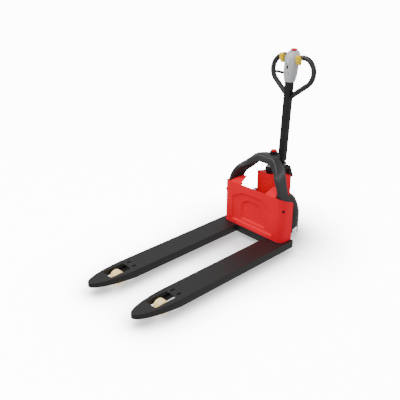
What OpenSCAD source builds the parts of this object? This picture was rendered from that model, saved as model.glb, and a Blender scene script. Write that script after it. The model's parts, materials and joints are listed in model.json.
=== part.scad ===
// Electric pallet truck, forks lowered. X runs to the fork tips, Y to the left, Z up from the floor.
// Positions along X are counted from the front panel's face: at(-137) is 137 mm behind it.

/* [Forks] */
// Fork length from the front panel to the tips
fork_len = 1150; // [1120:10:1180]
// Width over both forks
fork_span = 560; // [550:5:560]
// Width of one fork
fork_w = 150; // [148:1:150]
// Height of the lowered fork's top over the floor
fork_top = 85; // [85:1:86]
// Height of a fork's side walls
fork_h = 50; // [48:1:50]
// Thickness of the fork plate
fork_t = 6; // [5:0.5:6]
// Lift height
lift = 115; // [100:5:115]

/* [Load rollers] */
// Load roller radius
roller_r = 40; // [38:1:40]
// Load roller width
roller_w = 54; // [48:1:68]
// Distance from the swing arm's pivot to the roller's axle
arm_len = 180; // [176:1:184]
// Crank radius of the push rods
crank = 22; // [22:0.5:22.5]

/* [Front panel and hoop] */
// Length of the machine behind the front panel's face
head_len = 400; // [400:1:404]
// Height of the front panel
panel_h = 305; // [300:5:310]
// Half the width of the front panel
panel_half = 260; // [258:1:262]
// Thickness of the panel's sheet
sheet = 5; // [4:0.5:5]

/* [Drive unit] */
// Drive wheel radius
wheel_r = 105; // [100:1:105]
// Drive wheel width
wheel_w = 70; // [60:1:70]
// Radius of the round drive cover
cover_r = 180; // [178:1:180]
// Width of the red housing
housing_w = 160; // [156:1:160]

/* [Tiller] */
// Height of the tiller's hinge
hinge_z = 495; // [493:1:497]
// Side of the square tiller tube
tube_w = 48; // [44:1:48]
// Height of the head's lower end
head_z = 1045; // [1040:5:1050]
// Radius of the loop handle's bends
loop_r = 90; // [88:1:92]
// Radius of the loop handle's bar
bar_r = 16.5; // [15:0.5:17]

/* [Hidden] */
$fn = 64;
eps = 0.01;
fit = 0.05;

total = fork_len + head_len;
face_x = total / 2 - fork_len;
fork_y = (fork_span - fork_w) / 2;
fork_z0 = fork_top - fork_h;
heel_len = 102;
inner_half = fork_w / 2 - fork_t;

// Lift linkage, in the lowered position
bogie_z = 44;
bogie_x = 948 - sqrt(pow(arm_len, 2) - pow(bogie_z - roller_r, 2));
swing_0 = asin((bogie_z - roller_r) / arm_len);
swing_1 = asin((bogie_z - roller_r + lift) / arm_len);
swing = swing_1 - swing_0;
rocker_x = -65;
rocker_z = 58;
drive_arm = lift / (2 * sin(swing / 2));
slot_z = rocker_z + lift / 2;
slot_x = rocker_x - drive_arm * cos(swing / 2);
rod_pin_r = 5;
rod_slack = crank * (1 - cos(swing / 2));

steer_x = -220;
tiller_x = -288;
tiller_lean = 2.84;
lean = 0.13;
plate_z = 232;
cyl_x = -163;
post_x = -130;
post_y = 100;
post_r = 12;
post_top = 316;
roof_front = fork_top + 378;
roof_rear = fork_top + 341;
housing_front = -137;
housing_rear = -297;
housing_z = plate_z + 10;
deck_z = fork_top + 478;
deck_top = fork_top + 507;
crown_x = -135;
estop_x = -198;

function at(x) = face_x + x;

module at_x(x, y = 0, z = 0) {
  translate([at(x), y, z]) children();
}

module along_y(x, z, from, to, r) {
  at_x(x, from, z) rotate([-90, 0, 0]) cylinder(h = to - from, r = r);
}

module mirror_y() {
  children();
  mirror([0, 1, 0]) children();
}

module slab(x0, x1, y0, y1, z0, z1) {
  translate([at(x0), y0, z0]) cube([x1 - x0, y1 - y0, z1 - z0]);
}

module rounded(w, d, r) {
  for (sx = [-1, 1], sy = [-1, 1])
    translate([sx * (w / 2 - r), sy * (d / 2 - r)]) circle(r = r);
  square([w - 2 * r, d], center = true);
  square([w, d - 2 * r], center = true);
}

// ---------- forks ----------
tip_len = 300;
tip_x = fork_len - tip_len;

// Outline of a fork from above, or of its hollow when half is less than the fork's
module fork_plan(half, start = 0) {
  inset = fork_w / 2 - half;
  translate([start, -half]) square([tip_x - start, 2 * half]);
  polygon([for (a = [-90 : 3 : 90]) [tip_x + (tip_len - inset) * cos(a), half * sin(a)]]);
}

module roller_window() {
  length = 147;
  translate([875 + length / 2, 0]) rounded(length, 84, 8);
}

module hand_slot() {
  for (e = [-9, 9]) translate([842 + e, 0]) circle(r = 6);
  translate([842 - 9, -6]) square([18, 12]);
}

// Plates under the top on both sides of the window, which carry the bogie's axle
rib_y = 44.2;
rib_t = 3;
rib_low = 9;

module fork(side) {
  taper = 4.7;
  color([0.2, 0.2, 0.2]) difference() {
    translate([face_x, side * fork_y, fork_z0]) difference() {
      linear_extrude(fork_h) fork_plan(fork_w / 2);
      difference() {
        translate([0, 0, -1]) linear_extrude(fork_h - fork_t + 1) intersection() {
          fork_plan(inner_half, -1);
          translate([-1, -fork_w]) square([1081, 2 * fork_w]);
        }
        translate([818, -36, fork_h - 2 * fork_t]) cube([46, 72, fork_t + 3]);
        for (s = [-1, 1]) translate([800, s * rib_y - rib_t / 2, rib_low])
          cube([212, rib_t, fork_h - fork_t - rib_low + 1]);
      }
      linear_extrude(fork_h + 1) roller_window();
      for (s = [-1, 1]) translate([0, s * 27, fork_h - fork_t - 2]) linear_extrude(fork_t + 4) hand_slot();
      translate([870, -fork_w / 2 - 1, 0]) rotate([0, -taper, 0]) translate([0, 0, -60])
        cube([400, fork_w + 2, 60]);
    }
    along_y(bogie_x, bogie_z, side * fork_y - fork_w, side * fork_y + fork_w, 10 + fit);
  }
}

module fork_left() { fork(1); }
module fork_right() { fork(-1); }

// ---------- load frame ----------
module heel_frame() {
  half = fork_y - fork_w / 2;
  low = fork_top - fork_t;
  color([0.12, 0.12, 0.13]) difference() {
    union() {
      slab(-heel_len, 0, -fork_span / 2, fork_span / 2, low, fork_top);
      slab(-8, 0, -half - 1, half + 1, fork_z0, low + 1);
      mirror_y() {
        slab(-heel_len, 0, half, half + fork_t, fork_z0, low + 1);
        slab(-heel_len, 0, fork_span / 2 - fork_t, fork_span / 2, fork_z0, low + 1);
      }
    }
    mirror_y() {
      slab(-heel_len - 1, -80, half - 15, half - 1, fork_z0, fork_top + 1);
      along_y(rocker_x, rocker_z, half - 2, half + 10, 12 + fit);
    }
  }
}

module panel_plan(inset) {
  corner = 50;
  half = panel_half - inset;
  r = corner - inset;
  translate([-104, -half]) square([104 - corner, 2 * half]);
  translate([-corner - 1, -(panel_half - corner)])
    square([corner + 1 - inset, 2 * (panel_half - corner)]);
  for (s = [-1, 1]) translate([-corner, s * (panel_half - corner)]) circle(r = r);
}

// Outline of a stamped recess: half width, top, its chamfer and its foot, inset all round
function recess(half, shoulder, top, drop, foot, inset) = [
  [-half + inset, foot + inset], [half - inset, foot + inset],
  [half - inset, top - drop], [shoulder, top - inset],
  [-shoulder, top - inset], [-half + inset, top - drop]];

module recess_block(pts, x0, x1) {
  translate([at(x0), 0, fork_top]) rotate([90, 0, 90]) linear_extrude(x1 - x0) polygon(pts);
}

outer_recess = [178, 78, 252, 46, 28];
inner_recess = [104, 50, 204, 34, 52];
draft = 8;

module recess_of(p, inset, x0, x1) {
  recess_block(recess(p[0], p[1], p[2], p[3], p[4], inset), x0, x1);
}

shelf_z = fork_top + 262;

// A stamped step with sloping walls, from one depth to another
module drafted(p, inset, x0, x1) {
  hull() {
    recess_of(p, inset, x0, x0 + eps);
    recess_of(p, inset + draft, x1, x1 + eps);
  }
}

module wing_slope() {
  translate([at(-4), 0, fork_top + panel_h]) rotate([0, -23.5, 0])
    translate([-140, -300, 0]) cube([140, 600, 80]);
}

module front_panel() {
  step = 10;
  color([0.93, 0.13, 0.12]) {
    difference() {
      at_x(0, 0, fork_top) linear_extrude(panel_h) difference() {
        panel_plan(0);
        translate([-eps, 0]) panel_plan(sheet);
        translate([-110, -panel_half + sheet]) square([20, 2 * (panel_half - sheet)]);
      }
      wing_slope();
      drafted(outer_recess, 0, 0, -step);
      for (s = [-1, 1]) at_wing_bolt(s) cylinder(h = 70, r = 5);
    }
    difference() {
      drafted(outer_recess, -3, -sheet, -step - sheet);
      drafted(outer_recess, 0, 0, -step);
      drafted(inner_recess, 0, -step, -2 * step);
    }
    difference() {
      drafted(inner_recess, -3, -step - sheet, -2 * step - sheet);
      drafted(inner_recess, 0, -step, -2 * step);
      recess_of(inner_recess, -9, -step - eps, 1);
    }
    mirror_y() at_x(0, 0, fork_top + panel_h - sheet) rotate([0, 26, 0]) linear_extrude(sheet)
      polygon([[-4, 108], [-86, 119], [-84, 146], [-36, 184], [-4, 196]]);
    at_x(0, 0, shelf_z - 6) linear_extrude(6) intersection() {
      panel_plan(sheet - eps);
      for (s = [-1, 1]) translate([-103, s * 216 - 40]) square([103, 80]);
    }
  }
}

// Hoop sections: front outer, front inner, rear inner and rear outer corner of each
hoop_left = [
  [[-16, 236, 262], [-8, 206, 262], [-98, 180, 262], [-98, 246, 262]],
  [[-13, 214, 347], [-14, 188, 350], [-101, 147, 357], [-109, 204, 341]],
  [[-34, 178, 413], [-35, 146, 406], [-115, 100, 402], [-124, 172, 420]],
  [[-75, 132, 450], [-68, 112, 424], [-122, 74, 428], [-142, 146, 459]],
  [[-104, 85, 490], [-92, 62, 451], [-128, 50, 452], [-148, 100, 496]],
  [[-116, 45, 503], [-95, 40, 460], [-150, 40, 461], [-150, 60, 507]]];

function flip_y(p) = [p[0], -p[1], p[2]];
function hoop_sections() = concat(
  hoop_left,
  [for (i = [len(hoop_left) - 1 : -1 : 0]) [for (p = hoop_left[i]) flip_y(p)]]);

module guard_hoop() {
  secs = hoop_sections();
  n = len(secs);
  pts = [for (s = secs, p = s) [at(p[0]), p[1], fork_top + p[2]]];
  faces = concat(
    [[0, 1, 2], [0, 2, 3]],
    [for (i = [0 : n - 2], k = [0 : 3], half = [0, 1])
      let (a = i * 4 + k, b = a + 4, c = (i + 1) * 4 + (k + 1) % 4, d = i * 4 + (k + 1) % 4)
        half == 0 ? [a, b, c] : [a, c, d]],
    [[n * 4 - 1, n * 4 - 2, n * 4 - 3], [n * 4 - 1, n * 4 - 3, n * 4 - 4]]);
  color([0.2, 0.2, 0.21]) polyhedron(points = pts, faces = faces);
}

module hoop_deck() {
  half = 38;
  thick = deck_top - 4 - deck_z;
  color([0.16, 0.16, 0.17]) at_x(0, 0, deck_z) linear_extrude(thick) {
    translate([estop_x, 0]) circle(r = half);
    polygon([[-150, -86], [-150, 86], [-188, 58], [estop_x, half], [estop_x, -half], [-188, -58]]);
  }
}

module estop_base() {
  color("black") at_x(estop_x, 0, deck_top - 4) difference() {
    cylinder(h = 12, r = 26);
    translate([0, 0, 4]) cylinder(h = 9, r = 12.5);
  }
}

module estop_button() {
  color("red") at_x(estop_x, 0, deck_top) {
    translate([0, 0, 7]) cylinder(h = 8, r = 11.5);
    translate([0, 0, 15]) rotate_extrude() intersection() {
      translate([0, -26]) circle(r = 36);
      square([19, 14]);
    }
  }
}

module piston_rod() {
  color([0.85, 0.85, 0.87]) at_x(cyl_x, 0, 0) {
    translate([0, 0, 330]) cylinder(h = deck_z - 330, r = 11);
    translate([0, 0, 318]) cylinder(h = 12, r = 15);
  }
}

block_z = [60, 150];
block_h = 34;

module guide_carriage() {
  color([0.12, 0.12, 0.13]) mirror_y() difference() {
    union() {
      for (z = block_z) slab(post_x - 16, -heel_len, post_y - 15, post_y + 17, z, z + block_h);
      slab(-heel_len, -92, post_y - 15, post_y + 13, fork_top, 200);
      slab(-93, -25 - fit, post_y - 15, post_y - 7, fork_top, 200);
    }
    at_x(post_x, post_y, 50) cylinder(h = 200, r = post_r + 2);
  }
}

module guide_bushes() {
  color([0.72, 0.55, 0.3]) for (s = [-1, 1], z = block_z)
    at_x(post_x, s * post_y, z) difference() {
      cylinder(h = block_h, r = post_r + 2);
      translate([0, 0, -1]) cylinder(h = block_h + 2, r = post_r + fit);
    }
}

module hex_bolt(len_) {
  cylinder(h = 5, r = 9, $fn = 6);
  translate([0, 0, -len_]) cylinder(h = len_, r = 4.9);
}

// The wing bolts stand square to the panel's rounded corners
module at_wing_bolt(side) {
  at_x(-50, side * (panel_half - 50), fork_top + 224)
    rotate([0, 0, side * 54.5]) rotate([0, 90, 0]) children();
}

module panel_bolts() {
  color("silver") for (s = [-1, 1]) at_wing_bolt(s) translate([0, 0, 50]) hex_bolt(sheet + 4);
}

// ---------- lift linkage ----------
module bogie_axles() {
  color("silver") for (s = [-1, 1])
    along_y(bogie_x, bogie_z, s * fork_y - fork_w / 2, s * fork_y + fork_w / 2, 10);
}

function turned(len_, angle) = [len_ * cos(angle), len_ * sin(angle)];

// A flat link with round ends, in its own X-Z plane and as thick as asked
module link(p0, p1, r0, r1, y0, y1) {
  dir = atan2(p1[1] - p0[1], p1[0] - p0[0]);
  gap = norm(p1 - p0);
  w = min(r0, r1);
  translate([at(p0[0]), y1, p0[1]]) rotate([90, 0, 0]) linear_extrude(y1 - y0) rotate(dir) {
    circle(r = r0);
    translate([gap, 0]) circle(r = r1);
    translate([0, -w * 0.8]) square([gap, w * 1.6]);
  }
}

rocker_p = [rocker_x, rocker_z];
bogie_p = [bogie_x, bogie_z];
rocker_pin = rocker_p + turned(crank, -90 - swing / 2);
bogie_pin = bogie_p + turned(crank, 90 + swing / 2);
slot_pin = rocker_p + turned(drive_arm, 180 - swing / 2);
axle_p = bogie_p + turned(arm_len, -swing_0);

module rocker_shaft() {
  color([0.15, 0.15, 0.16]) difference() {
    union() {
      along_y(rocker_x, rocker_z, -262, 262, 12);
      for (s = [-1, 1]) {
        y = s * fork_y;
        for (e = [-12, 6]) link(rocker_p, rocker_pin, 18, 9, y + e, y + e + 6);
        link(rocker_p, slot_pin, 18, 11, min(s * 118, s * 128), max(s * 118, s * 128));
      }
    }
    for (s = [-1, 1]) along_y(rocker_pin[0], rocker_pin[1], s * fork_y - 13, s * fork_y + 13, rod_pin_r);
  }
  color("silver") for (s = [-1, 1])
    along_y(slot_pin[0], slot_pin[1], min(s * 126, s * 144), max(s * 126, s * 144), 6);
}

module rod_pins() {
  color("silver") for (s = [-1, 1])
    along_y(rocker_pin[0], rocker_pin[1], s * fork_y - 13, s * fork_y + 13, rod_pin_r);
}

module push_rod(side) {
  rise = bogie_pin[1] + rod_slack - rocker_pin[1];
  run = bogie_pin[0] - rocker_pin[0];
  tilt = atan2(rise, run);
  length = sqrt(rise * rise + run * run);
  y = side * fork_y;
  color([0.3, 0.3, 0.32]) translate([at(rocker_pin[0]), y, rocker_pin[1]]) rotate([0, -tilt, 0])
    difference() {
      union() {
        for (x = [0, length]) translate([x, 5, 0]) rotate([90, 0, 0]) cylinder(h = 10, r = 9);
        translate([4, 0, 0]) rotate([0, 90, 0]) cylinder(h = length - 8, r = 6);
      }
      translate([0, 6, 0]) rotate([90, 0, 0]) cylinder(h = 12, r = rod_pin_r + fit);
      translate([length, 7, 0]) rotate([90, 0, 0]) cylinder(h = 14, r = rod_pin_r + rod_slack + 0.8);
    }
}

module push_rod_left() { push_rod(1); }
module push_rod_right() { push_rod(-1); }

module bogie(side) {
  y = side * fork_y;
  arm_in = roller_w / 2 + 3;
  color([0.13, 0.13, 0.14]) difference() {
    union() {
      along_y(bogie_x, bogie_z, y - arm_in - 6, y + arm_in + 6, 14);
      for (e = [-arm_in - 7, arm_in]) link(bogie_p, axle_p, 15, 16, y + e, y + e + 7);
      for (e = [-12, 6]) link(bogie_p, bogie_pin, 13, 9, y + e, y + e + 6);
    }
    along_y(bogie_x, bogie_z, y - 80, y + 80, 10 + fit);
    along_y(bogie_x, bogie_z, y - 6, y + 6, 15);
    along_y(axle_p[0], axle_p[1], y - 80, y + 80, 10);
  }
  color("silver") along_y(bogie_pin[0], bogie_pin[1], y - 10, y + 10, rod_pin_r);
}

module bogie_left() { bogie(1); }
module bogie_right() { bogie(-1); }

module roller_axles(side) {
  half = roller_w / 2 + 10;
  color("silver") along_y(axle_p[0], axle_p[1], side * fork_y - half, side * fork_y + half, 10);
}

module roller_axles_left() { roller_axles(1); }
module roller_axles_right() { roller_axles(-1); }

module roller_profile() {
  half = roller_w / 2;
  bevel = 4;
  polygon([[28, -half], [roller_r - bevel, -half], [roller_r, -half + bevel],
    [roller_r, half - bevel], [roller_r - bevel, half], [28, half]]);
}

module roller_tread(side) {
  color([0.96, 0.86, 0.68]) at_x(axle_p[0], side * fork_y, axle_p[1]) rotate([90, 0, 0])
    rotate_extrude() roller_profile();
}

module roller_core(side) {
  half = roller_w / 2;
  color([0.6, 0.6, 0.62]) at_x(axle_p[0], side * fork_y, axle_p[1]) rotate([90, 0, 0]) difference() {
    cylinder(h = 2 * half - 2, r = 28, center = true);
    cylinder(h = 2 * half, r = 10 + fit, center = true);
  }
}

module roller_tread_left() { roller_tread(1); }
module roller_tread_right() { roller_tread(-1); }
module roller_core_left() { roller_core(1); }
module roller_core_right() { roller_core(-1); }

// ---------- chassis ----------
cheek_y = 134;
cheek_t = 6;

module chassis_plan() {
  intersection() {
    circle(r = 153);
    translate([-160, -160]) square([230, 320]);
  }
  translate([0, -50]) square([100, 100]);
}

module chassis_frame() {
  color([0.12, 0.12, 0.13]) difference() {
    union() {
      at_x(steer_x, 0, plate_z) linear_extrude(10) chassis_plan();
      mirror_y() {
        slab(steer_x - 55, -118, cheek_y, cheek_y + cheek_t, 24, plate_z + 2);
        slab(steer_x - 50, -164, cheek_y - 10, cheek_y + 2, plate_z - 10, plate_z + 2);
        slab(post_x - 18, post_x + 18, post_y - 16, cheek_y + 1, 24, 34);
        slab(-166, -158, post_y - 16, post_y + 16, plate_z + 2, post_top - 2);
        slab(-166, post_x + 18, post_y - 16, post_y + 16, post_top - 8, post_top);
        
      }
    }
    at_x(steer_x, 0, plate_z - 1) cylinder(h = 12, r = 24);
    mirror_y() {
      slab(slot_x - drive_arm * (1 - cos(swing / 2)) - 12, slot_x + 10, cheek_y - 1, cheek_y + 8,
        slot_z - 7.2, slot_z + 7.2);
      at_x(post_x, post_y, 20) cylinder(h = 20, r = post_r);
      at_x(post_x, post_y, post_top - 10) cylinder(h = 20, r = post_r);
    }
  }
}

module cover_profile(inset) {
  r = cover_r - inset;
  polygon([[r, 30 - inset], [r, 160], [r - 2, 182], [r - 8, 206], [r - 17, 232], [r - 28, 256 - inset],
    [r - 46, 273 - inset], [r - 74, 285 - inset], [88, 289 - inset], [0, 289 - inset], [0, 30 - inset]]);
}

module drive_cover() {
  wall = 4;
  color([0.1, 0.1, 0.1]) difference() {
    at_x(steer_x) rotate_extrude($fn = 128) cover_profile(0);
    at_x(steer_x) rotate_extrude($fn = 128) cover_profile(wall);
    slab(-170, 100, -200, 200, 0, 320);
    slab(-295, 100, -200, 200, 0, fork_top);
    slab(housing_rear - 1, 0, -housing_w / 2 - 1, housing_w / 2 + 1, 270, 320);
  }
}

module housing_side(inset, base) {
  polygon([[housing_rear + inset, base], [housing_front - inset, base],
    [housing_front - inset, roof_front - inset], [housing_rear + inset, roof_rear - inset]]);
}

module power_housing() {
  wall = 3;
  half = housing_w / 2;
  color([0.85, 0.1, 0.1]) difference() {
    translate([face_x, half, 0]) rotate([90, 0, 0]) linear_extrude(2 * half)
      housing_side(0, housing_z);
    translate([face_x, half - wall, 0]) rotate([90, 0, 0]) linear_extrude(2 * (half - wall))
      housing_side(wall, housing_z - 1);
    at_x(steer_x, 0, 400) cylinder(h = 100, r = 24);
    at_x(cyl_x, 0, 400) cylinder(h = 100, r = 22);
    at_x(housing_rear, 50, 380) rotate([0, 90, 0]) cylinder(h = 20, r = 9.5, center = true);
  }
}

module battery_pack() {
  color([0.15, 0.2, 0.35]) slab(-282, -184, 28, 74, plate_z + 10, 405);
}

module motor_controller() {
  color([0.4, 0.4, 0.42]) {
    slab(-255, -195, 84, 122, plate_z + 10, 262);
    for (i = [0 : 5]) slab(-252 + i * 10, -248 + i * 10, 86, 120, 262, 270);
  }
}

module pump_motor() {
  color([0.1, 0.1, 0.1]) at_x(-240, -50, 320) cylinder(h = 90, r = 24);
}

module pump_block() {
  color([0.55, 0.57, 0.6]) slab(-288, -196, -74, -28, plate_z + 10, 320);
}

module lift_cylinder() {
  color([0.2, 0.2, 0.2]) at_x(cyl_x, 0, plate_z + 10) difference() {
    cylinder(h = 230, r = 19);
    translate([0, 0, 12]) cylinder(h = 232, r = 15 + fit);
  }
}

module cylinder_cap() {
  color("black") at_x(cyl_x, 0, 472) difference() {
    rotate_extrude() {
      square([19, 36]);
      intersection() {
        translate([0, 18]) circle(r = 29);
        square([30, 36]);
      }
    }
    translate([0, 0, -1]) cylinder(h = 40, r = 11 + fit);
  }
}

module wiper_ring() {
  color([0.9, 0.9, 0.9]) at_x(cyl_x, 0, 508) difference() {
    cylinder(h = 7, r = 20);
    translate([0, 0, -1]) cylinder(h = 10, r = 11 + fit);
  }
}

module guide_posts() {
  color([0.8, 0.8, 0.82]) for (s = [-1, 1])
    at_x(post_x, s * post_y, 24) cylinder(h = post_top - 24, r = post_r);
}

module steering_bearing() {
  color([0.7, 0.7, 0.72]) at_x(steer_x, 0, plate_z - 4) difference() {
    union() {
      cylinder(h = 18, r = 24);
      translate([0, 0, 14]) cylinder(h = 6, r = 27);
    }
    translate([0, 0, -1]) cylinder(h = 22, r = 18 + fit);
  }
}

module chassis_bolts() {
  ring_r = 128;
  color("silver") for (a = [90, 140, 220, 270])
    at_x(steer_x + ring_r * cos(a), ring_r * sin(a), plate_z + 10) cylinder(h = 5, r = 6, $fn = 6);
}

module key_switch() {
  color([0.3, 0.3, 0.3]) at_x(housing_rear, 50, 380) rotate([0, -90, 0]) {
    translate([0, 0, -12]) cylinder(h = 16, r = 9);
    translate([-7, -1.5, 4]) cube([14, 3, 9]);
  }
}

module pressure_pipe() {
  color([0.5, 0.5, 0.52]) {
    at_x(-196, -45, 262) rotate([0, 90, 0]) cylinder(h = 36, r = 5);
    at_x(cyl_x, -45, 262) sphere(r = 5);
    along_y(cyl_x, 262, -45, -19, 5);
  }
}

// ---------- steered drive ----------
module drive_fork() {
  side = wheel_w / 2 + 8;
  color([0.25, 0.25, 0.27]) difference() {
    union() {
      at_x(steer_x, 0, 222) cylinder(h = 234, r = 18);
      slab(steer_x - 45, steer_x + 45, -side - 8, side + 8, 215, 226);
      mirror_y() {
        link([steer_x, wheel_r], [steer_x, 205], 24, 24, side, side + 8);
        slab(steer_x - 24, steer_x + 24, side, side + 8, 200, 216);
      }
    }
    along_y(steer_x, wheel_r, -side - 10, side + 10, 12);
  }
}

module drive_axle() {
  side = wheel_w / 2 + 8;
  color("silver") along_y(steer_x, wheel_r, -side - 14, side + 14, 12);
}

module drive_hub() {
  color([0.55, 0.56, 0.58]) at_x(steer_x, 0, wheel_r) rotate([90, 0, 0]) difference() {
    union() {
      cylinder(h = wheel_w - 4, r = 85, center = true);
      cylinder(h = wheel_w + 12, r = 40, center = true);
    }
    cylinder(h = wheel_w + 20, r = 12 + fit, center = true);
  }
}

module drive_tyre() {
  half = wheel_w / 2;
  bevel = 6;
  color([0.1, 0.1, 0.1]) at_x(steer_x, 0, wheel_r) rotate([90, 0, 0]) rotate_extrude($fn = 96)
    polygon([[85, -half], [wheel_r - bevel, -half], [wheel_r, -half + bevel],
      [wheel_r, half - bevel], [wheel_r - bevel, half], [85, half]]);
}

ear_y = 19;
ear_t = 8;
ear_out = ear_y + ear_t;
knuckle_r = 17;

module steering_arm() {
  color([0.1, 0.1, 0.11]) difference() {
    union() {
      at_x(steer_x, 0, 456) cylinder(h = 16, r = 30);
      slab(tiller_x + 22, steer_x, -27, 27, 456, 470);
      mirror_y() {
        slab(tiller_x - 18, steer_x - 20, ear_y, ear_y + ear_t, 456, hinge_z - 8);
        along_y(tiller_x, hinge_z, ear_y, ear_y + ear_t, 18);
      }
    }
    along_y(tiller_x, hinge_z, -40, 40, 8 + fit);
  }
}

module tiller_cowl() {
  wall = 3;
  color([0.12, 0.12, 0.12]) difference() {
    hull() {
      slab(-345, steer_x + 8, -31, 31, 464, 470);
      slab(-362, -338, -46, 46, 392, 396);
    }
    hull() {
      slab(-345 + wall, steer_x + 10, -ear_out, ear_out, 462, 472);
      slab(-362 + wall, -337, -46 + wall, 46 - wall, 390, 396);
    }
    at_x(steer_x, 0, 380) cylinder(h = 76, r = 116);
    slab(tiller_x - 20, steer_x + 12, -ear_out, ear_out, 440, 500);
    slab(-238, steer_x + 12, -40, 40, 440, 500);
  }
}

module tiller_pin() {
  color("silver") along_y(tiller_x, hinge_z, -31, 31, 8);
}

// ---------- tiller ----------
module arm_tube(grow = 0) {
  length = (head_z + 25 - hinge_z) / cos(tiller_lean);
  at_x(tiller_x, 0, hinge_z) rotate([0, -tiller_lean, 0]) translate([0, 0, 22])
    linear_extrude(length - 22) rounded(tube_w + grow, tube_w + grow, 10);
}

module tiller_arm() {
  color([0.14, 0.14, 0.15]) difference() {
    union() {
      along_y(tiller_x, hinge_z, -ear_y + 0.5, ear_y - 0.5, knuckle_r);
      slab(tiller_x - 15, tiller_x + 15, -17, 17, hinge_z, hinge_z + 24);
      arm_tube();
    }
    along_y(tiller_x, hinge_z, -30, 30, 8 + fit);
  }
}

loop_y = 72;
loop_z = 1107;
loop_end = -52;
loop_tail = 150;

function loop_x(z) = -322 - lean * (z - 941);
function loop_arc(a) = [loop_y + loop_r * cos(a), loop_z + loop_r * sin(a)];
function loop_line(t) = loop_arc(loop_end) + t * [sin(loop_end), -cos(loop_end)];
function loop_points() = concat(
  [for (a = [112 : -8 : loop_end - 4]) if (a >= loop_end) loop_arc(a)],
  [for (t = [30 : 40 : loop_tail]) loop_line(t)]);
function loop_tangent(p, i) = let (a = p[max(i - 1, 0)], b = p[min(i + 1, len(p) - 1)])
  (b - a) / norm(b - a);

module loop_side(side) {
  p = loop_points();
  n = len(p);
  sides = 12;
  pts = [for (i = [0 : n - 1]) let (t = loop_tangent(p, i), out = [-t[1], t[0]])
    for (k = [0 : sides - 1]) let (c = bar_r * cos(k * 360 / sides), s = bar_r * sin(k * 360 / sides))
      [at(loop_x(p[i][1])) + s, side * (p[i][0] + c * out[0]), p[i][1] + c * out[1]]];
  ring = [for (i = [0 : n - 2], k = [0 : sides - 1])
    [i * sides + k, i * sides + (k + 1) % sides, (i + 1) * sides + (k + 1) % sides, (i + 1) * sides + k]];
  caps = [[for (k = [sides - 1 : -1 : 0]) k], [for (k = [0 : sides - 1]) (n - 1) * sides + k]];
  polyhedron(points = pts, faces = concat(ring, caps));
}

module loop_handle() {
  color([0.16, 0.16, 0.16]) difference() {
    union() {
      loop_side(1);
      mirror([0, 1, 0]) loop_side(1);
    }
    arm_tube();
    head_shape();
  }
}

// Head sections: height, centre, depth and width
head_low = [head_z, -314, 57, 64];
head_mid = [1090, -317, 73, 83];
head_wide = [1195, -329, 80, 90];
head_top = [1232, -342, 50, 60];
belly_z = 1242;
belly_x = -342;

module head_slab(s) {
  at_x(s[1], 0, s[0]) linear_extrude(3) rounded(s[2], s[3], s[2] * 0.4);
}

module head_shape() {
  $fn = 32;
  hull() { head_slab(head_low); head_slab(head_mid); }
  hull() { head_slab(head_mid); head_slab(head_wide); }
  hull() { head_slab(head_wide); head_slab(head_top); }
}

module head_casing() {
  color([0.7, 0.71, 0.72]) difference() {
    head_shape();
    arm_tube(0.1);
    along_y(spindle_x, spindle_z, -70, 70, 6.3);
    at_x(belly_x, 0, belly_z - 20) cylinder(h = 40, r = 13);
    for (y = [-15, 15]) at_x(-380, y, 1150) rotate([0, 90, 0]) cylinder(h = 45, r = 8.4);
    at_x(-380, 0, 1105) rotate([0, 90, 0]) cylinder(h = 38, r = 8.4);
    oval(-297, 30, slow_z, 5.9, 9);
    oval(-294, 30, lamp_z, 7, 8);
    at_x(lever_p[0], lever_p[1], lever_p[2]) cube([16, 44, 24], center = true);
  }
}

spindle_x = -312;
spindle_z = 1188;
lever_p = [-330, -40, 1088];
slow_z = 1137;
lamp_z = 1180;

// An upright oval bar along X
module oval(x, depth, z, r, reach) {
  at_x(x, 0, z) rotate([90, 0, 90]) linear_extrude(depth) {
    for (s = [-1, 1]) translate([0, s * reach]) circle(r = r);
    square([2 * r, 2 * reach], center = true);
  }
}

function head_front(z) = -280.5 - (z - 1093) * 8.5 / 102;

module status_lamp() {
  color([0.8, 0.85, 0.9]) oval(-294, 7.5, lamp_z, 7, 8);
}

module head_screws() {
  color("silver") for (s = [-1, 1], z = [1105, 1160]) at_x(head_front(z - 4) + 0.05, s * 12, z)
    rotate([0, 90, 0]) cylinder(h = 2, r = 4, $fn = 6);
}

module throttle_spindle() {
  color("silver") along_y(spindle_x, spindle_z, -52, 52, 6);
}

module throttle_knobs() {
  color([0.93, 0.72, 0.15]) for (s = [-1, 1])
    translate([at(spindle_x), s > 0 ? 76 : -52, spindle_z]) rotate([90, 0, 0]) linear_extrude(24) {
      circle(r = 17);
      hull() {
        translate([8, 19]) circle(r = 12, $fn = 32);
        translate([-4, -19]) circle(r = 12, $fn = 32);
      }
    }
}

module belly_button() {
  color([0.85, 0.08, 0.1]) at_x(belly_x, 0, 0) {
    translate([0, 0, belly_z - 12]) cylinder(h = 12, r = 12.6);
    translate([0, 0, belly_z]) rotate_extrude() intersection() {
      translate([0, -38]) circle(r = 46);
      square([24, 8]);
    }
  }
}

module rear_button(x, y, z, tint) {
  color(tint) at_x(x, y, z) rotate([0, 90, 0]) cylinder(h = 16, r = 8);
}

module lift_button() { rear_button(-368, 15, 1150, [0.2, 0.6, 0.25]); }
module lower_button() { rear_button(-368, -15, 1150, [0.2, 0.3, 0.7]); }
module horn_button() { rear_button(-361, 0, 1105, [0.9, 0.7, 0.1]); }

module slow_button() {
  color("black") oval(-293, 10, slow_z, 5.5, 9);
}

module lowering_lever() {
  color([0.08, 0.08, 0.08]) at_x(lever_p[0], lever_p[1], lever_p[2]) {
    rotate([0, 90, 0]) cylinder(h = 12, r = 7, center = true);
    translate([-6, -84, -7]) cube([12, 84, 14]);
    translate([0, -84, 0]) rotate([0, 90, 0]) cylinder(h = 12, r = 7, center = true);
  }
}

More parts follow.
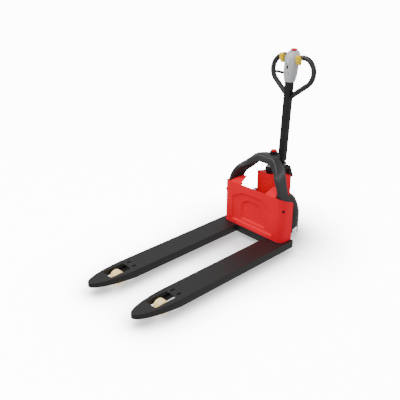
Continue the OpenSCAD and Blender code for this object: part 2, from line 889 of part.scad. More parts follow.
fork_left();
fork_right();
heel_frame();
front_panel();
guard_hoop();
hoop_deck();
estop_base();
estop_button();
piston_rod();
guide_carriage();
guide_bushes();
panel_bolts();
bogie_axles();
rocker_shaft();
rod_pins();
push_rod_left();
push_rod_right();
bogie_left();
bogie_right();
roller_axles_left();
roller_axles_right();
roller_tread_left();
roller_tread_right();
roller_core_left();
roller_core_right();
chassis_frame();
drive_cover();
power_housing();
battery_pack();
motor_controller();
pump_motor();
pump_block();
lift_cylinder();
cylinder_cap();
wiper_ring();
guide_posts();
steering_bearing();
chassis_bolts();
key_switch();
pressure_pipe();
drive_fork();
steering_arm();
tiller_cowl();
tiller_pin();
drive_axle();
drive_hub();
drive_tyre();
tiller_arm();
loop_handle();
head_casing();
status_lamp();
head_screws();
throttle_spindle();
throttle_knobs();
belly_button();
lift_button();
lower_button();
horn_button();
slow_button();
lowering_lever();
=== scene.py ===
import json
import logging
import math
from dataclasses import dataclass
from enum import Enum
from typing import Callable, Sequence

import bmesh
import bpy
from mathutils import Matrix, Vector


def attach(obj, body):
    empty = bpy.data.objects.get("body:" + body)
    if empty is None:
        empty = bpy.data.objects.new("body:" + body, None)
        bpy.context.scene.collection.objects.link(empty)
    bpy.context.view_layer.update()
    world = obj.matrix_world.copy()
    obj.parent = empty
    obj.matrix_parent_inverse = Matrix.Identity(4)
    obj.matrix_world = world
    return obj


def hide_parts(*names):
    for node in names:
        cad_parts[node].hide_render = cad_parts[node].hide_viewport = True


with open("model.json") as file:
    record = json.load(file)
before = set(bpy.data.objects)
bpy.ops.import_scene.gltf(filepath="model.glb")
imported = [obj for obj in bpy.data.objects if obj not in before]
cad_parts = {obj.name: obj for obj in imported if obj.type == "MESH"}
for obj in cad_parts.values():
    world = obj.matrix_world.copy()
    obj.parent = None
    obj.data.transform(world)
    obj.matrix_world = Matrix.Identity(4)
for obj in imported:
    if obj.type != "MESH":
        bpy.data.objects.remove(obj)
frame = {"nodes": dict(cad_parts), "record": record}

logging.basicConfig(level=logging.INFO, format="%(name)s: %(message)s")
LOG = logging.getLogger("pallet_jack")
MM = 0.001
FACE_X = -0.375
FORK_TOP = 0.085

Point = tuple[float, float, float]
Face = tuple[int, ...]


def at(x: float, y: float, z: float) -> Vector:
    """A point measured back from the front panel's face and up from the fork top.

    Args:
        x: millimetres in front of the panel's face.
        y: millimetres to the truck's left.
        z: millimetres above the fork top.

    Returns:
        The point in the part's frame, in metres.
    """
    return Vector((FACE_X + x * MM, y * MM, FORK_TOP + z * MM))


class Texture(Enum):
    """How a finish's fine surface is made."""

    PAINT = "paint"
    GRAIN = "grain"
    TURNED = "turned"
    CAST = "cast"


@dataclass(frozen=True)
class Finish:
    """One surface finish.

    Args:
        slot: the record's material slot.
        color: linear base colour.
        roughness: mean roughness.
        metallic: 0 or 1.
        texture: the fine surface.
        wear: share of scuffed surface.
        worn: linear colour of a scuff.
        painted_glow: emission strength in the base colour, painted light that makes the part glow
            though it is no lamp.
        specular: strength of the grey reflection.
    """

    slot: str
    color: Point
    roughness: float
    metallic: float = 0.0
    texture: Texture = Texture.GRAIN
    wear: float = 0.1
    worn: Point = (0.2, 0.2, 0.2)
    painted_glow: float = 0.0
    specular: float = 0.3


FINISHES = (
    Finish(
        "fork_black", (0.014, 0.014, 0.014), 0.46,
        texture=Texture.PAINT, wear=0.05, worn=(0.035, 0.035, 0.035),
    ),
    Finish(
        "frame_black", (0.008, 0.008, 0.009), 0.50,
        texture=Texture.PAINT, wear=0.06, worn=(0.04, 0.04, 0.04),
    ),
    Finish(
        "panel_red", (0.96, 0.002, 0.022), 0.48,
        texture=Texture.PAINT, wear=0.03, worn=(0.60, 0.01, 0.01), specular=0.06,
    ),
    Finish("cover_black", (0.008, 0.008, 0.008), 0.50, wear=0.08, worn=(0.03, 0.03, 0.03)),
    Finish(
        "housing_red", (0.90, 0.002, 0.020), 0.44,
        wear=0.03, worn=(0.55, 0.01, 0.01), specular=0.08,
    ),
    Finish(
        "hoop_black", (0.020, 0.020, 0.021), 0.38,
        wear=0.08, worn=(0.04, 0.04, 0.04), specular=0.4,
    ),
    Finish("steel", (0.50, 0.50, 0.52), 0.34, 1.0, Texture.TURNED, 0.10, (0.25, 0.24, 0.23)),
    Finish("chromed", (0.75, 0.75, 0.77), 0.12, 1.0, Texture.TURNED, 0.04, (0.45, 0.45, 0.45)),
    Finish("bronze", (0.45, 0.27, 0.10), 0.36, 1.0, Texture.TURNED, 0.12, (0.20, 0.12, 0.06)),
    # painted light: the roller treads glow in their own colour, so they stay bright where they stand
    # in shade
    Finish("polyurethane", (1.0, 0.74, 0.34), 0.42, wear=0.04, worn=(0.80, 0.58, 0.28), painted_glow=0.45),
    Finish("cast", (0.16, 0.165, 0.17), 0.58, 1.0, Texture.CAST, 0.20, (0.10, 0.08, 0.07)),
    Finish(
        "tyre", (0.014, 0.014, 0.014), 0.72,
        texture=Texture.CAST, wear=0.20, worn=(0.05, 0.045, 0.04),
    ),
    Finish("alu", (0.58, 0.59, 0.61), 0.38, 1.0, Texture.TURNED, 0.10, (0.35, 0.35, 0.35)),
    Finish("head_grey", (0.50, 0.51, 0.53), 0.32, wear=0.02, worn=(0.40, 0.40, 0.40), specular=0.5),
    Finish(
        "knob_yellow", (0.88, 0.62, 0.02), 0.40,
        wear=0.04, worn=(0.60, 0.40, 0.03), specular=0.2,
    ),
    Finish(
        "signal_red", (0.75, 0.002, 0.006), 0.32,
        wear=0.03, worn=(0.40, 0.01, 0.01), specular=0.25,
    ),
    Finish("button_green", (0.03, 0.28, 0.06), 0.34, wear=0.05, worn=(0.03, 0.12, 0.04)),
    Finish("button_blue", (0.03, 0.06, 0.34), 0.34, wear=0.05, worn=(0.03, 0.04, 0.14)),
    Finish("black_plastic", (0.006, 0.006, 0.007), 0.42, wear=0.06, worn=(0.03, 0.03, 0.03)),
    Finish("lamp_window", (0.80, 0.78, 0.90), 0.20, wear=0.02, worn=(0.55, 0.55, 0.60)),
)


class SurfaceGroup:
    """The shader node group that all finishes share: colour, roughness and normal."""

    INPUTS = (
        ("Base", "NodeSocketColor"), ("Worn", "NodeSocketColor"), ("Wear", "NodeSocketFloat"),
        ("Roughness", "NodeSocketFloat"), ("Grain", "NodeSocketFloat"), ("Relief", "NodeSocketFloat"),
    )
    OUTPUTS = (
        ("Color", "NodeSocketColor"), ("Roughness", "NodeSocketFloat"), ("Normal", "NodeSocketVector"),
    )

    def __init__(self) -> None:
        """Builds the group once."""
        self.tree = bpy.data.node_groups.new("surface_wear", "ShaderNodeTree")
        for name, kind in self.INPUTS:
            self.tree.interface.new_socket(name=name, in_out="INPUT", socket_type=kind)
        for name, kind in self.OUTPUTS:
            self.tree.interface.new_socket(name=name, in_out="OUTPUT", socket_type=kind)
        self._build()

    def _build(self) -> None:
        nodes, links = self.tree.nodes, self.tree.links
        given, out = nodes.new("NodeGroupInput"), nodes.new("NodeGroupOutput")
        place = nodes.new("ShaderNodeTexCoord").outputs["Object"]
        broad, patches, fine = (nodes.new("ShaderNodeTexNoise") for _ in range(3))
        for noise, scale, detail in ((broad, 5.0, 3.0), (patches, 22.0, 6.0)):
            noise.inputs["Scale"].default_value = scale
            noise.inputs["Detail"].default_value = detail
        fine.inputs["Detail"].default_value = 4.0
        for noise in (broad, patches, fine):
            links.new(place, noise.inputs["Vector"])
        links.new(given.outputs["Grain"], fine.inputs["Scale"])

        tone = nodes.new("ShaderNodeMapRange")
        for key, value in (("From Min", 0.3), ("From Max", 0.7), ("To Min", 0.92), ("To Max", 1.06)):
            tone.inputs[key].default_value = value
        links.new(broad.outputs["Fac"], tone.inputs["Value"])
        shade = nodes.new("ShaderNodeVectorMath")
        shade.operation = "SCALE"
        links.new(given.outputs["Base"], shade.inputs[0])
        links.new(tone.outputs["Result"], shade.inputs["Scale"])

        scuff = nodes.new("ShaderNodeMapRange")
        for key, value in (("From Min", 0.58), ("From Max", 0.74), ("To Min", 0.0), ("To Max", 1.0)):
            scuff.inputs[key].default_value = value
        links.new(patches.outputs["Fac"], scuff.inputs["Value"])
        share = nodes.new("ShaderNodeMath")
        share.operation = "MULTIPLY"
        links.new(scuff.outputs["Result"], share.inputs[0])
        links.new(given.outputs["Wear"], share.inputs[1])
        mix = nodes.new("ShaderNodeMix")
        mix.data_type = "RGBA"
        links.new(share.outputs[0], mix.inputs["Factor"])
        links.new(shade.outputs["Vector"], mix.inputs[6])
        links.new(given.outputs["Worn"], mix.inputs[7])
        links.new(mix.outputs[2], out.inputs["Color"])

        rough = nodes.new("ShaderNodeMath")
        rough.operation = "MULTIPLY_ADD"
        rough.inputs[1].default_value = 0.16
        links.new(patches.outputs["Fac"], rough.inputs[0])
        links.new(given.outputs["Roughness"], rough.inputs[2])
        links.new(rough.outputs[0], out.inputs["Roughness"])

        bump = nodes.new("ShaderNodeBump")
        bump.inputs["Distance"].default_value = 0.0004
        links.new(given.outputs["Relief"], bump.inputs["Strength"])
        links.new(fine.outputs["Fac"], bump.inputs["Height"])
        links.new(bump.outputs["Normal"], out.inputs["Normal"])


GRAIN: dict[Texture, tuple[float, float]] = {
    Texture.PAINT: (700.0, 0.10), Texture.GRAIN: (1500.0, 0.16),
    Texture.TURNED: (900.0, 0.08), Texture.CAST: (420.0, 0.35),
}


class Palette:
    """All finishes as materials, made on demand by slot name."""

    def __init__(self, finishes: Sequence[Finish]) -> None:
        """Keeps the finishes and builds the shared group.

        Args:
            finishes: every finish, one for each slot of the record.
        """
        self.finishes = {finish.slot: finish for finish in finishes}
        self.group = SurfaceGroup()
        self.made: dict[str, bpy.types.Material] = {}

    def get(self, slot: str) -> bpy.types.Material:
        """The slot's material.

        Args:
            slot: a material slot of the record.

        Returns:
            The material, the same one each time.
        """
        if slot not in self.made:
            self.made[slot] = self._make(self.finishes[slot])
        return self.made[slot]

    def _make(self, finish: Finish) -> bpy.types.Material:
        material = bpy.data.materials.new(finish.slot)
        material.use_nodes = True
        tree = material.node_tree
        tree.nodes.clear()
        out = tree.nodes.new("ShaderNodeOutputMaterial")
        shader = tree.nodes.new("ShaderNodeBsdfPrincipled")
        surface = tree.nodes.new("ShaderNodeGroup")
        surface.node_tree = self.group.tree
        scale, relief = GRAIN[finish.texture]
        values = {
            "Base": (*finish.color, 1.0), "Worn": (*finish.worn, 1.0), "Wear": finish.wear * 4.0,
            "Roughness": finish.roughness - 0.08, "Grain": scale, "Relief": relief,
        }
        for name, value in values.items():
            surface.inputs[name].default_value = value
        shader.inputs["Metallic"].default_value = finish.metallic
        shader.inputs["Specular IOR Level"].default_value = finish.specular
        # painted light: a finish with a glow emits its base colour, though the part is no lamp
        if finish.painted_glow:
            shader.inputs["Emission Color"].default_value = (*finish.color, 1.0)
            shader.inputs["Emission Strength"].default_value = finish.painted_glow
        links = tree.links
        links.new(surface.outputs["Color"], shader.inputs["Base Color"])
        links.new(surface.outputs["Roughness"], shader.inputs["Roughness"])
        links.new(surface.outputs["Normal"], shader.inputs["Normal"])
        links.new(shader.outputs["BSDF"], out.inputs["Surface"])
        return material


@dataclass
class Workshop:
    """Turns points and faces into finished pieces that ride on a CAD body.

    Args:
        palette: the materials.
    """

    palette: Palette

    def mesh(self, name: str, points: Sequence[Vector], faces: Sequence[Face]) -> bpy.types.Mesh:
        """A mesh with its normals outward.

        Args:
            name: the mesh's name.
            points: its vertices.
            faces: its faces.

        Returns:
            The new mesh.
        """
        mesh = bpy.data.meshes.new(name)
        mesh.from_pydata([tuple(p) for p in points], [], faces)
        work = bmesh.new()
        work.from_mesh(mesh)
        bmesh.ops.recalc_face_normals(work, faces=work.faces)
        work.to_mesh(mesh)
        work.free()
        return mesh

    def place(
        self, name: str, mesh: bpy.types.Mesh, slot: str, body: str,
        replaces: Sequence[str] = (), angle: float = 35.0,
    ) -> bpy.types.Object:
        """Adds a piece to the object.

        Args:
            name: the piece's name.
            mesh: its mesh, in the part's frame.
            slot: its material slot.
            body: the CAD body that it moves with.
            replaces: CAD nodes it stands for.
            angle: edges flatter than this many degrees are shaded smooth.

        Returns:
            The finished object.
        """
        mesh.materials.clear()
        mesh.materials.append(self.palette.get(slot))
        mesh.shade_smooth()
        mesh.set_sharp_from_angle(angle=math.radians(angle))
        piece = bpy.data.objects.new(name, mesh)
        bpy.context.scene.collection.objects.link(piece)
        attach(piece, body)
        if replaces:
            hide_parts(*replaces)
        LOG.info("%s rides on %s: %d vertices", name, body, len(mesh.vertices))
        return piece

    def loft(self, name: str, rings: Sequence[Sequence[Vector]]) -> bpy.types.Mesh:
        """A closed skin through rings of equal length.

        Args:
            name: the mesh's name.
            rings: the cross-sections, in order.

        Returns:
            The mesh, with both ends closed.
        """
        count = len(rings[0])
        points = [p for ring in rings for p in ring]
        faces: list[Face] = []
        for i in range(len(rings) - 1):
            a, b = i * count, (i + 1) * count
            faces += [(a + k, b + k, b + (k + 1) % count, a + (k + 1) % count) for k in range(count)]
        faces.append(tuple(range(count)))
        faces.append(tuple(range(len(points) - count, len(points))))
        return self.mesh(name, points, faces)


def smooth_path(points: Sequence[Vector], steps: int) -> list[Vector]:
    """Points along a smooth curve through the given ones.

    Args:
        points: at least two points.
        steps: new points for each gap.

    Returns:
        The curve's points, both ends included.
    """
    ends = [points[0] * 2 - points[1], *points, points[-1] * 2 - points[-2]]
    out: list[Vector] = []
    for i in range(1, len(ends) - 2):
        a, b, c, d = ends[i - 1 : i + 3]
        for s in range(steps):
            t = s / steps
            out.append(
                0.5 * (
                    2 * b + (c - a) * t + (2 * a - 5 * b + 4 * c - d) * t**2
                    + (3 * b - a - 3 * c + d) * t**3
                )
            )
    return out + [points[-1].copy()]


def rounded_ring(corners: Sequence[Vector], reach: float, steps: int = 5) -> list[Vector]:
    """A closed outline with rounded corners.

    Args:
        corners: the outline's corners.
        reach: how far along each side a corner's rounding runs.
        steps: points for each corner.

    Returns:
        The outline's points.
    """
    ring: list[Vector] = []
    count = len(corners)
    for i, corner in enumerate(corners):
        before, after = corners[i - 1] - corner, corners[(i + 1) % count] - corner
        a = corner + before.normalized() * min(reach, before.length * 0.45)
        b = corner + after.normalized() * min(reach, after.length * 0.45)
        for s in range(steps):
            t = s / (steps - 1)
            ring.append(a * (1 - t) ** 2 + corner * 2 * t * (1 - t) + b * t**2)
    return ring


class CurveTool:
    """Geometry node groups that follow a path, turned into plain meshes."""

    def __init__(self, palette: Palette) -> None:
        """Builds the tube and bead groups.

        Args:
            palette: the materials.
        """
        self.palette = palette
        self.tube = self._group("tube_along_path", self._tube)
        self.beads = self._group("beads_along_path", self._beads)

    def _group(self, name: str, fill: Callable[..., bpy.types.NodeSocket]) -> bpy.types.NodeTree:
        tree = bpy.data.node_groups.new(name, "GeometryNodeTree")
        new = tree.interface.new_socket
        new(name="Path", in_out="INPUT", socket_type="NodeSocketGeometry")
        new(name="Radius", in_out="INPUT", socket_type="NodeSocketFloat")
        new(name="Spacing", in_out="INPUT", socket_type="NodeSocketFloat")
        new(name="Material", in_out="INPUT", socket_type="NodeSocketMaterial")
        new(name="Result", in_out="OUTPUT", socket_type="NodeSocketGeometry")
        nodes, links = tree.nodes, tree.links
        given, out = nodes.new("NodeGroupInput"), nodes.new("NodeGroupOutput")
        curve = nodes.new("GeometryNodeMeshToCurve")
        links.new(given.outputs["Path"], curve.inputs["Mesh"])
        made = fill(nodes, links, given, curve.outputs["Curve"])
        solid, paint = nodes.new("GeometryNodeRealizeInstances"), nodes.new("GeometryNodeSetMaterial")
        links.new(made, solid.inputs["Geometry"])
        links.new(solid.outputs["Geometry"], paint.inputs["Geometry"])
        links.new(given.outputs["Material"], paint.inputs["Material"])
        links.new(paint.outputs["Geometry"], out.inputs["Result"])
        return tree

    @staticmethod
    def _tube(
        nodes: bpy.types.Nodes, links: bpy.types.NodeLinks, given: bpy.types.Node,
        curve: bpy.types.NodeSocket,
    ) -> bpy.types.NodeSocket:
        """Sweeps a round profile along the path."""
        profile = nodes.new("GeometryNodeCurvePrimitiveCircle")
        sweep = nodes.new("GeometryNodeCurveToMesh")
        profile.inputs["Resolution"].default_value = 28
        sweep.inputs["Fill Caps"].default_value = True
        links.new(given.outputs["Radius"], profile.inputs["Radius"])
        links.new(curve, sweep.inputs["Curve"])
        links.new(profile.outputs["Curve"], sweep.inputs["Profile Curve"])
        return sweep.outputs["Mesh"]

    @staticmethod
    def _beads(
        nodes: bpy.types.Nodes, links: bpy.types.NodeLinks, given: bpy.types.Node,
        curve: bpy.types.NodeSocket,
    ) -> bpy.types.NodeSocket:
        """Sets beads of slightly differing size at even distances."""
        spaced, bead = nodes.new("GeometryNodeResampleCurve"), nodes.new("GeometryNodeMeshIcoSphere")
        spaced.mode = "LENGTH"
        bead.inputs["Subdivisions"].default_value = 2
        put = nodes.new("GeometryNodeInstanceOnPoints")
        size = nodes.new("FunctionNodeRandomValue")
        size.inputs[2].default_value = 0.85
        size.inputs[3].default_value = 1.0
        size.inputs["Seed"].default_value = 7
        links.new(curve, spaced.inputs["Curve"])
        links.new(given.outputs["Spacing"], spaced.inputs["Length"])
        links.new(given.outputs["Radius"], bead.inputs["Radius"])
        links.new(spaced.outputs["Curve"], put.inputs["Points"])
        links.new(bead.outputs["Mesh"], put.inputs["Instance"])
        links.new(size.outputs[1], put.inputs["Scale"])
        return put.outputs["Instances"]

    def run(
        self, name: str, tree: bpy.types.NodeTree, paths: Sequence[Sequence[Vector]],
        radius: float, spacing: float, slot: str,
    ) -> bpy.types.Mesh:
        """Runs a group along paths.

        Args:
            name: the mesh's name.
            tree: the group.
            paths: open paths in the part's frame.
            radius: tube or bead radius in metres.
            spacing: bead spacing in metres.
            slot: material slot.

        Returns:
            A plain mesh.
        """
        base = bpy.data.meshes.new(name + "_path")
        points = [p for path in paths for p in path]
        edges, start = [], 0
        for path in paths:
            edges += [(start + i, start + i + 1) for i in range(len(path) - 1)]
            start += len(path)
        base.from_pydata([tuple(p) for p in points], edges, [])
        carrier = bpy.data.objects.new(name + "_path", base)
        bpy.context.scene.collection.objects.link(carrier)
        modifier = carrier.modifiers.new("path", "NODES")
        modifier.node_group = tree
        given = {"Radius": radius, "Spacing": spacing, "Material": self.palette.get(slot)}
        for item in tree.interface.items_tree:
            if item.in_out == "INPUT" and item.name in given:
                modifier[item.identifier] = given[item.name]
        seen = bpy.context.evaluated_depsgraph_get()
        mesh = bpy.data.meshes.new_from_object(carrier.evaluated_get(seen))
        mesh.name = name
        carrier.modifiers.clear()
        bpy.data.objects.remove(carrier)
        bpy.data.meshes.remove(base)
        return mesh


@dataclass
class GuardHoop:
    """The black guard hoop over the panel.

    Args:
        edges: front outer, front inner, rear inner and rear outer edge of the left half, in
            millimetres.
        rounding: how far the edges are rounded, in metres.
        steps: new points between two given ones.
    """

    edges: tuple[tuple[Point, ...], ...] = (
        (
            (-16, 236, 262), (-13, 214, 347), (-34, 178, 413),
            (-75, 132, 450), (-104, 85, 490), (-116, 45, 503),
        ),
        (
            (-8, 206, 262), (-14, 188, 350), (-35, 146, 406),
            (-68, 112, 424), (-92, 62, 451), (-95, 40, 460),
        ),
        (
            (-98, 180, 262), (-101, 147, 357), (-115, 100, 402),
            (-122, 74, 428), (-128, 50, 452), (-150, 40, 461),
        ),
        (
            (-98, 246, 262), (-109, 204, 341), (-124, 172, 420),
            (-142, 146, 459), (-148, 100, 496), (-150, 60, 507),
        ),
    )
    rounding: float = 0.009
    steps: int = 6

    def build(self, shop: Workshop) -> None:
        """Builds the hoop's smooth skin.

        Args:
            shop: makes and places pieces.
        """
        lines = []
        for edge in self.edges:
            left = [at(*p) for p in edge]
            right = [Vector((p.x, -p.y, p.z)) for p in reversed(left)]
            lines.append(smooth_path(left + right, self.steps))
        rings = [rounded_ring(corners, self.rounding) for corners in zip(*lines)]
        skin = shop.loft("hoop_skin", rings)
        shop.place("hoop_skin", skin, "hoop_black", "load_frame", ["guard_hoop"], 50.0)


@dataclass
class LoopHandle:
    """The heart-shaped loop handle, bent from one bar.

    Args:
        bend_y: distance of a bend's centre from the middle, in millimetres.
        bend_z: its height over the floor.
        radius: bend radius of the bar's centre line.
        bar: the bar's radius.
        tail: length of the straight part towards the arm.
        first: degrees at which the bend leaves the head.
        last: degrees at which the bend ends and the straight part starts.
        step: degrees between points of the bend.
        lean: shift towards the operator for each millimetre of height.
        foot_x: the loop plane's distance from the panel's face at foot_z.
        foot_z: height over the floor at which foot_x holds.
    """

    bend_y: float = 72.0
    bend_z: float = 1107.0
    radius: float = 90.0
    bar: float = 16.4
    tail: float = 148.0
    first: int = 112
    last: int = -52
    step: int = 4
    lean: float = 0.13
    foot_x: float = -322.0
    foot_z: float = 941.0

    def point(self, side: int, y: float, z: float) -> Vector:
        """A point of the leaning loop.

        Args:
            side: 1 for left, -1 for right.
            y: millimetres from the middle.
            z: height over the floor.

        Returns:
            The point in the part's frame.
        """
        x = self.foot_x - self.lean * (z - self.foot_z)
        return Vector((FACE_X + x * MM, side * y * MM, z * MM))

    def path(self, side: int) -> list[Vector]:
        """One side's centre line, from the head down to the arm.

        Args:
            side: 1 for left, -1 for right.

        Returns:
            Points along the bar.
        """
        out = []
        for degrees in range(self.first, self.last - 1, -self.step):
            a = math.radians(degrees)
            y, z = self.bend_y + self.radius * math.cos(a), self.bend_z + self.radius * math.sin(a)
            out.append(self.point(side, y, z))
        a = math.radians(self.last)
        y0, z0 = self.bend_y + self.radius * math.cos(a), self.bend_z + self.radius * math.sin(a)
        out.append(self.point(side, y0 + self.tail * math.sin(a), z0 - self.tail * math.cos(a)))
        return out

    def build(self, shop: Workshop, curves: CurveTool) -> None:
        """Builds both sides as tubes.

        Args:
            shop: places the pieces.
            curves: sweeps the bar.
        """
        for side, name in ((1, "left"), (-1, "right")):
            title, path = f"loop_bar_{name}", self.path(side)
            mesh = curves.run(title, curves.tube, [path], self.bar * MM, 0.01, "hoop_black")
            shop.place(title, mesh, "hoop_black", "tiller", ["loop_handle"])


@dataclass
class TillerHead:
    """The light grey head on the tiller.

    Args:
        sections: height over the floor, middle, depth and width, in millimetres.
        power: roundness of the sections; 2 is an ellipse.
        count: points around a section.
        steps: new sections between two given ones.
    """

    sections: tuple[tuple[float, float, float, float], ...] = (
        (1045, -316, 58, 64), (1060, -317, 66, 73), (1092, -319.5, 76, 84), (1130, -322.5, 79, 88),
        (1165, -327.5, 82, 91), (1196, -331.5, 83, 92), (1215, -337, 73, 82), (1229, -342, 58, 67),
        (1235, -343.5, 45, 53),
    )
    power: float = 2.6
    count: int = 40
    steps: int = 4

    def ring(self, z: float, x: float, depth: float, width: float) -> list[Vector]:
        """One horizontal section.

        Args:
            z: height over the floor.
            x: middle, from the panel's face.
            depth: size along X.
            width: size along Y.

        Returns:
            The section's points.
        """
        out = []
        for k in range(self.count):
            a = 2 * math.pi * k / self.count
            c, s = math.cos(a), math.sin(a)
            px = math.copysign(abs(c) ** (2 / self.power), c) * depth / 2
            py = math.copysign(abs(s) ** (2 / self.power), s) * width / 2
            out.append(Vector((FACE_X + (x + px) * MM, py * MM, z * MM)))
        return out

    def build(self, shop: Workshop) -> None:
        """Builds the smooth casing.

        Args:
            shop: makes and places pieces.
        """
        columns = [[self.ring(*s)[k] for s in self.sections] for k in range(self.count)]
        smooth = [smooth_path(column, self.steps) for column in columns]
        rings = [list(ring) for ring in zip(*smooth)]
        skin = shop.loft("head_skin", rings)
        shop.place("head_skin", skin, "head_grey", "tiller", ["head_casing"], 60.0)


@dataclass
class Hood:
    """The hood behind the hoop's crown that carries the emergency stop.

    Args:
        outline: its outline, in millimetres from the panel's face and the middle.
        low: underside over the fork top.
        high: top over the fork top.
        edge: width of the rounded edge, in metres.
    """

    outline: tuple[tuple[float, float], ...] = ((-151, 84), (-188, 57), (-198, 38))
    low: float = 478.0
    high: float = 503.0
    edge: float = 0.005

    def build(self, shop: Workshop) -> None:
        """Builds the hood with its rounded edge.

        Args:
            shop: makes and places pieces.
        """
        left = list(self.outline)
        x0, r = self.outline[-1]
        turns = [math.radians(degrees) for degrees in range(10, 91, 10)]
        left += [(x0 - r * math.sin(a), r * math.cos(a)) for a in turns]
        ring = left + [(x, -y) for x, y in reversed(left[:-1])]
        count = len(ring)
        points = [at(x, y, z) for z in (self.low, self.high) for x, y in ring]
        faces: list[Face] = [tuple(range(count)), tuple(range(count, 2 * count))]
        faces += [(k, (k + 1) % count, count + (k + 1) % count, count + k) for k in range(count)]
        mesh = shop.mesh("hood_skin", points, faces)
        work = bmesh.new()
        work.from_mesh(mesh)
        level = at(0, 0, self.high).z - 0.0001
        rim = [e for e in work.edges if all(v.co.z > level for v in e.verts)]
        bmesh.ops.bevel(work, geom=rim, offset=self.edge, segments=4, profile=0.5, affect="EDGES")
        bmesh.ops.recalc_face_normals(work, faces=work.faces)
        work.to_mesh(mesh)
        work.free()
        shop.place("hood_skin", mesh, "hoop_black", "load_frame", ["hoop_deck"], 40.0)


@dataclass
class Welds:
    """Weld beads where the heel meets the forks and the panel.

    Args:
        bead: a bead's radius, in metres.
        spacing: distance between beads, in metres.
        side_y: the fork seams' distance from the middle, in millimetres.
        panel_y: half the length of the panel's seam.
    """

    bead: float = 0.0022
    spacing: float = 0.0028
    side_y: float = 130.0
    panel_y: float = 258.0

    def build(self, shop: Workshop, curves: CurveTool) -> None:
        """Lays the beads.

        Args:
            shop: places the piece.
            curves: spaces the beads.
        """
        sides = (self.side_y, -self.side_y)
        lines = [[at(-100, y, 0), at(-1, y, 0)] for y in sides]
        lines.append([at(1, -self.panel_y, 0), at(1, self.panel_y, 0)])
        mesh = curves.run("weld_beads", curves.beads, lines, self.bead, self.spacing, "fork_black")
        shop.place("weld_beads", mesh, "fork_black", "load_frame")


@dataclass
class StatusLeds:
    """The two small green lights in the head's display.

    Args:
        x: distance from the panel's face, in millimetres.
        low: the lower light's height over the floor.
        high: the upper light's height over the floor.
        radius: a light's radius.
    """

    x: float = -286.9
    low: float = 1174.0
    high: float = 1187.0
    radius: float = 2.6

    def build(self, shop: Workshop, curves: CurveTool) -> None:
        """Sets the lights.

        Args:
            shop: places the piece.
            curves: spaces the lights.
        """
        line = [Vector((FACE_X + self.x * MM, 0, z * MM)) for z in (self.low, self.high)]
        gap = (self.high - self.low) * MM
        mesh = curves.run("status_leds", curves.beads, [line], self.radius * MM, gap, "button_green")
        shop.place("status_leds", mesh, "button_green", "tiller")


@dataclass(frozen=True)
class Softbox:
    """One soft area light.

    Args:
        name: its name.
        place: where it stands.
        aim: the point it faces.
        size: its side in metres.
        power: its power in watts.
    """

    name: str
    place: Point
    aim: Point
    size: float
    power: float


SOFTBOXES = (
    Softbox("key", (1.2, -1.5, 3.6), (-0.1, 0.0, 0.2), 2.6, 105.0),
    Softbox("fill", (2.8, 1.8, 2.2), (-0.2, 0.0, 0.4), 3.0, 24.0),
    Softbox("rim", (-2.6, 1.6, 2.6), (-0.3, 0.0, 0.4), 2.0, 30.0),
)


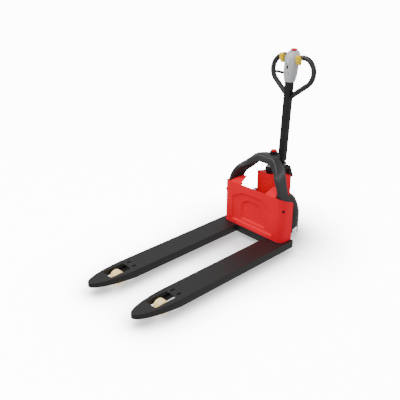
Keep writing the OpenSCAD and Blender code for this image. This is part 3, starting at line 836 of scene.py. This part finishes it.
@dataclass
class Studio:
    """Camera, light and floor; none of it is part of the object.

    Args:
        eye: the camera's place, in metres.
        lens: its focal length in millimetres.
        azimuth: the side it looks from, in degrees.
        drop: how far it looks down, in degrees.
        roll: its roll, in degrees.
        sensor: width of its sensor in millimetres.
        sky_light: strength of the light from all round.
        shade_reach: how far from the object the floor's painted shadow reaches, in metres.
        shade_power: how quickly that painted shadow fades.
        floor_dim: the floor's glow in full painted shadow.
        floor_glow: the floor's glow in the open.
        reach: half the floor's side, in metres.
    """

    eye: Point = (2.24307, 2.31852, 1.94841)
    lens: float = 52.795
    azimuth: float = 47.096
    drop: float = 25.161
    roll: float = -0.105
    sensor: float = 36.0
    sky_light: float = 0.75
    shade_reach: float = 0.6
    shade_power: float = 6.0
    floor_dim: float = 0.5
    floor_glow: float = 12.0
    reach: float = 60.0

    def camera(self) -> None:
        """Places the camera at the photograph's angle."""
        data = bpy.data.cameras.new("camera")
        data.lens, data.sensor_width = self.lens, self.sensor
        camera = bpy.data.objects.new("camera", data)
        bpy.context.scene.collection.objects.link(camera)
        a, e, r = (math.radians(v) for v in (self.azimuth, self.drop, self.roll))
        look = Vector((-math.cos(a) * math.cos(e), -math.sin(a) * math.cos(e), -math.sin(e)))
        side = look.cross(Vector((0, 0, 1))).normalized()
        up = side.cross(look)
        across = side * math.cos(r) + up * math.sin(r)
        upward = up * math.cos(r) - side * math.sin(r)
        turn = Matrix((across, upward, -look)).transposed().to_4x4()
        camera.matrix_world = Matrix.Translation(self.eye) @ turn
        bpy.context.scene.camera = camera

    @staticmethod
    def light(box: Softbox) -> None:
        """Adds a soft area light.

        Args:
            box: the light.
        """
        data = bpy.data.lights.new(box.name, "AREA")
        data.size, data.energy = box.size, box.power
        lamp = bpy.data.objects.new(box.name, data)
        bpy.context.scene.collection.objects.link(lamp)
        lamp.location = box.place
        facing = Vector(box.aim) - Vector(box.place)
        lamp.rotation_euler = facing.to_track_quat("-Z", "Y").to_euler()

    def build(self) -> None:
        """Adds the world, the floor and the lights."""
        world = bpy.data.worlds.new("studio")
        world.use_nodes = True
        sky = world.node_tree.nodes["Background"]
        sky.inputs["Color"].default_value = (1.0, 1.0, 1.0, 1.0)
        rays = world.node_tree.nodes.new("ShaderNodeLightPath")
        seen = world.node_tree.nodes.new("ShaderNodeMapRange")
        seen.inputs["To Min"].default_value = self.sky_light
        seen.inputs["To Max"].default_value = self.floor_glow
        world.node_tree.links.new(rays.outputs["Is Camera Ray"], seen.inputs["Value"])
        world.node_tree.links.new(seen.outputs["Result"], sky.inputs["Strength"])
        bpy.context.scene.world = world
        floor = bpy.data.materials.new("floor")
        floor.use_nodes = True
        shader = floor.node_tree.nodes["Principled BSDF"]
        shader.inputs["Base Color"].default_value = (0.92, 0.92, 0.92, 1.0)
        shader.inputs["Emission Color"].default_value = (1.0, 1.0, 1.0, 1.0)
        shader.inputs["Roughness"].default_value = 0.6
        nodes, links = floor.node_tree.nodes, floor.node_tree.links
        # painted shadow: ambient occlusion near the object dims the floor's glow, so the contact
        # shadow is painted into the emission and not cast by the lights
        painted_shadow_ao = nodes.new("ShaderNodeAmbientOcclusion")
        painted_shadow_ao.inputs["Distance"].default_value = self.shade_reach
        painted_shadow_falloff = nodes.new("ShaderNodeMath")
        painted_shadow_falloff.operation = "POWER"
        painted_shadow_falloff.inputs[1].default_value = self.shade_power
        painted_glow = nodes.new("ShaderNodeMapRange")
        painted_glow.inputs["To Min"].default_value = self.floor_dim
        painted_glow.inputs["To Max"].default_value = self.floor_glow
        links.new(painted_shadow_ao.outputs["AO"], painted_shadow_falloff.inputs[0])
        links.new(painted_shadow_falloff.outputs[0], painted_glow.inputs["Value"])
        links.new(painted_glow.outputs["Result"], shader.inputs["Emission Strength"])
        mesh = bpy.data.meshes.new("floor")
        r = self.reach
        corners = [(-r, -r, 0), (r, -r, 0), (r, r, 0), (-r, r, 0)]
        mesh.from_pydata(corners, [], [(0, 1, 2, 3)])
        mesh.materials.append(floor)
        ground = bpy.data.objects.new("floor", mesh)
        bpy.context.scene.collection.objects.link(ground)
        ground.visible_diffuse = False
        ground.visible_glossy = False
        for box in SOFTBOXES:
            self.light(box)


@dataclass
class PalletJack:
    """The whole truck: CAD nodes with their finishes, and the pieces added to them.

    Args:
        palette: the materials.
    """

    palette: Palette

    def paint_nodes(self) -> None:
        """Gives every CAD node the material of its slot."""
        for entry in frame["record"]["subparts"]:
            node = frame["nodes"][entry["node"]]
            node.data.materials.clear()
            node.data.materials.append(self.palette.get(entry["material_slot"]))
            LOG.info("%s is %s", entry["node"], entry["material_slot"])

    def build(self) -> None:
        """Paints the nodes and adds every piece."""
        shop, curves = Workshop(self.palette), CurveTool(self.palette)
        self.paint_nodes()
        GuardHoop().build(shop)
        TillerHead().build(shop)
        LoopHandle().build(shop, curves)
        Hood().build(shop)
        Welds().build(shop, curves)
        StatusLeds().build(shop, curves)


def main() -> None:
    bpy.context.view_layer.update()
    studio = Studio()
    studio.camera()
    studio.build()
    PalletJack(Palette(FINISHES)).build()


if __name__ == "__main__":
    main()
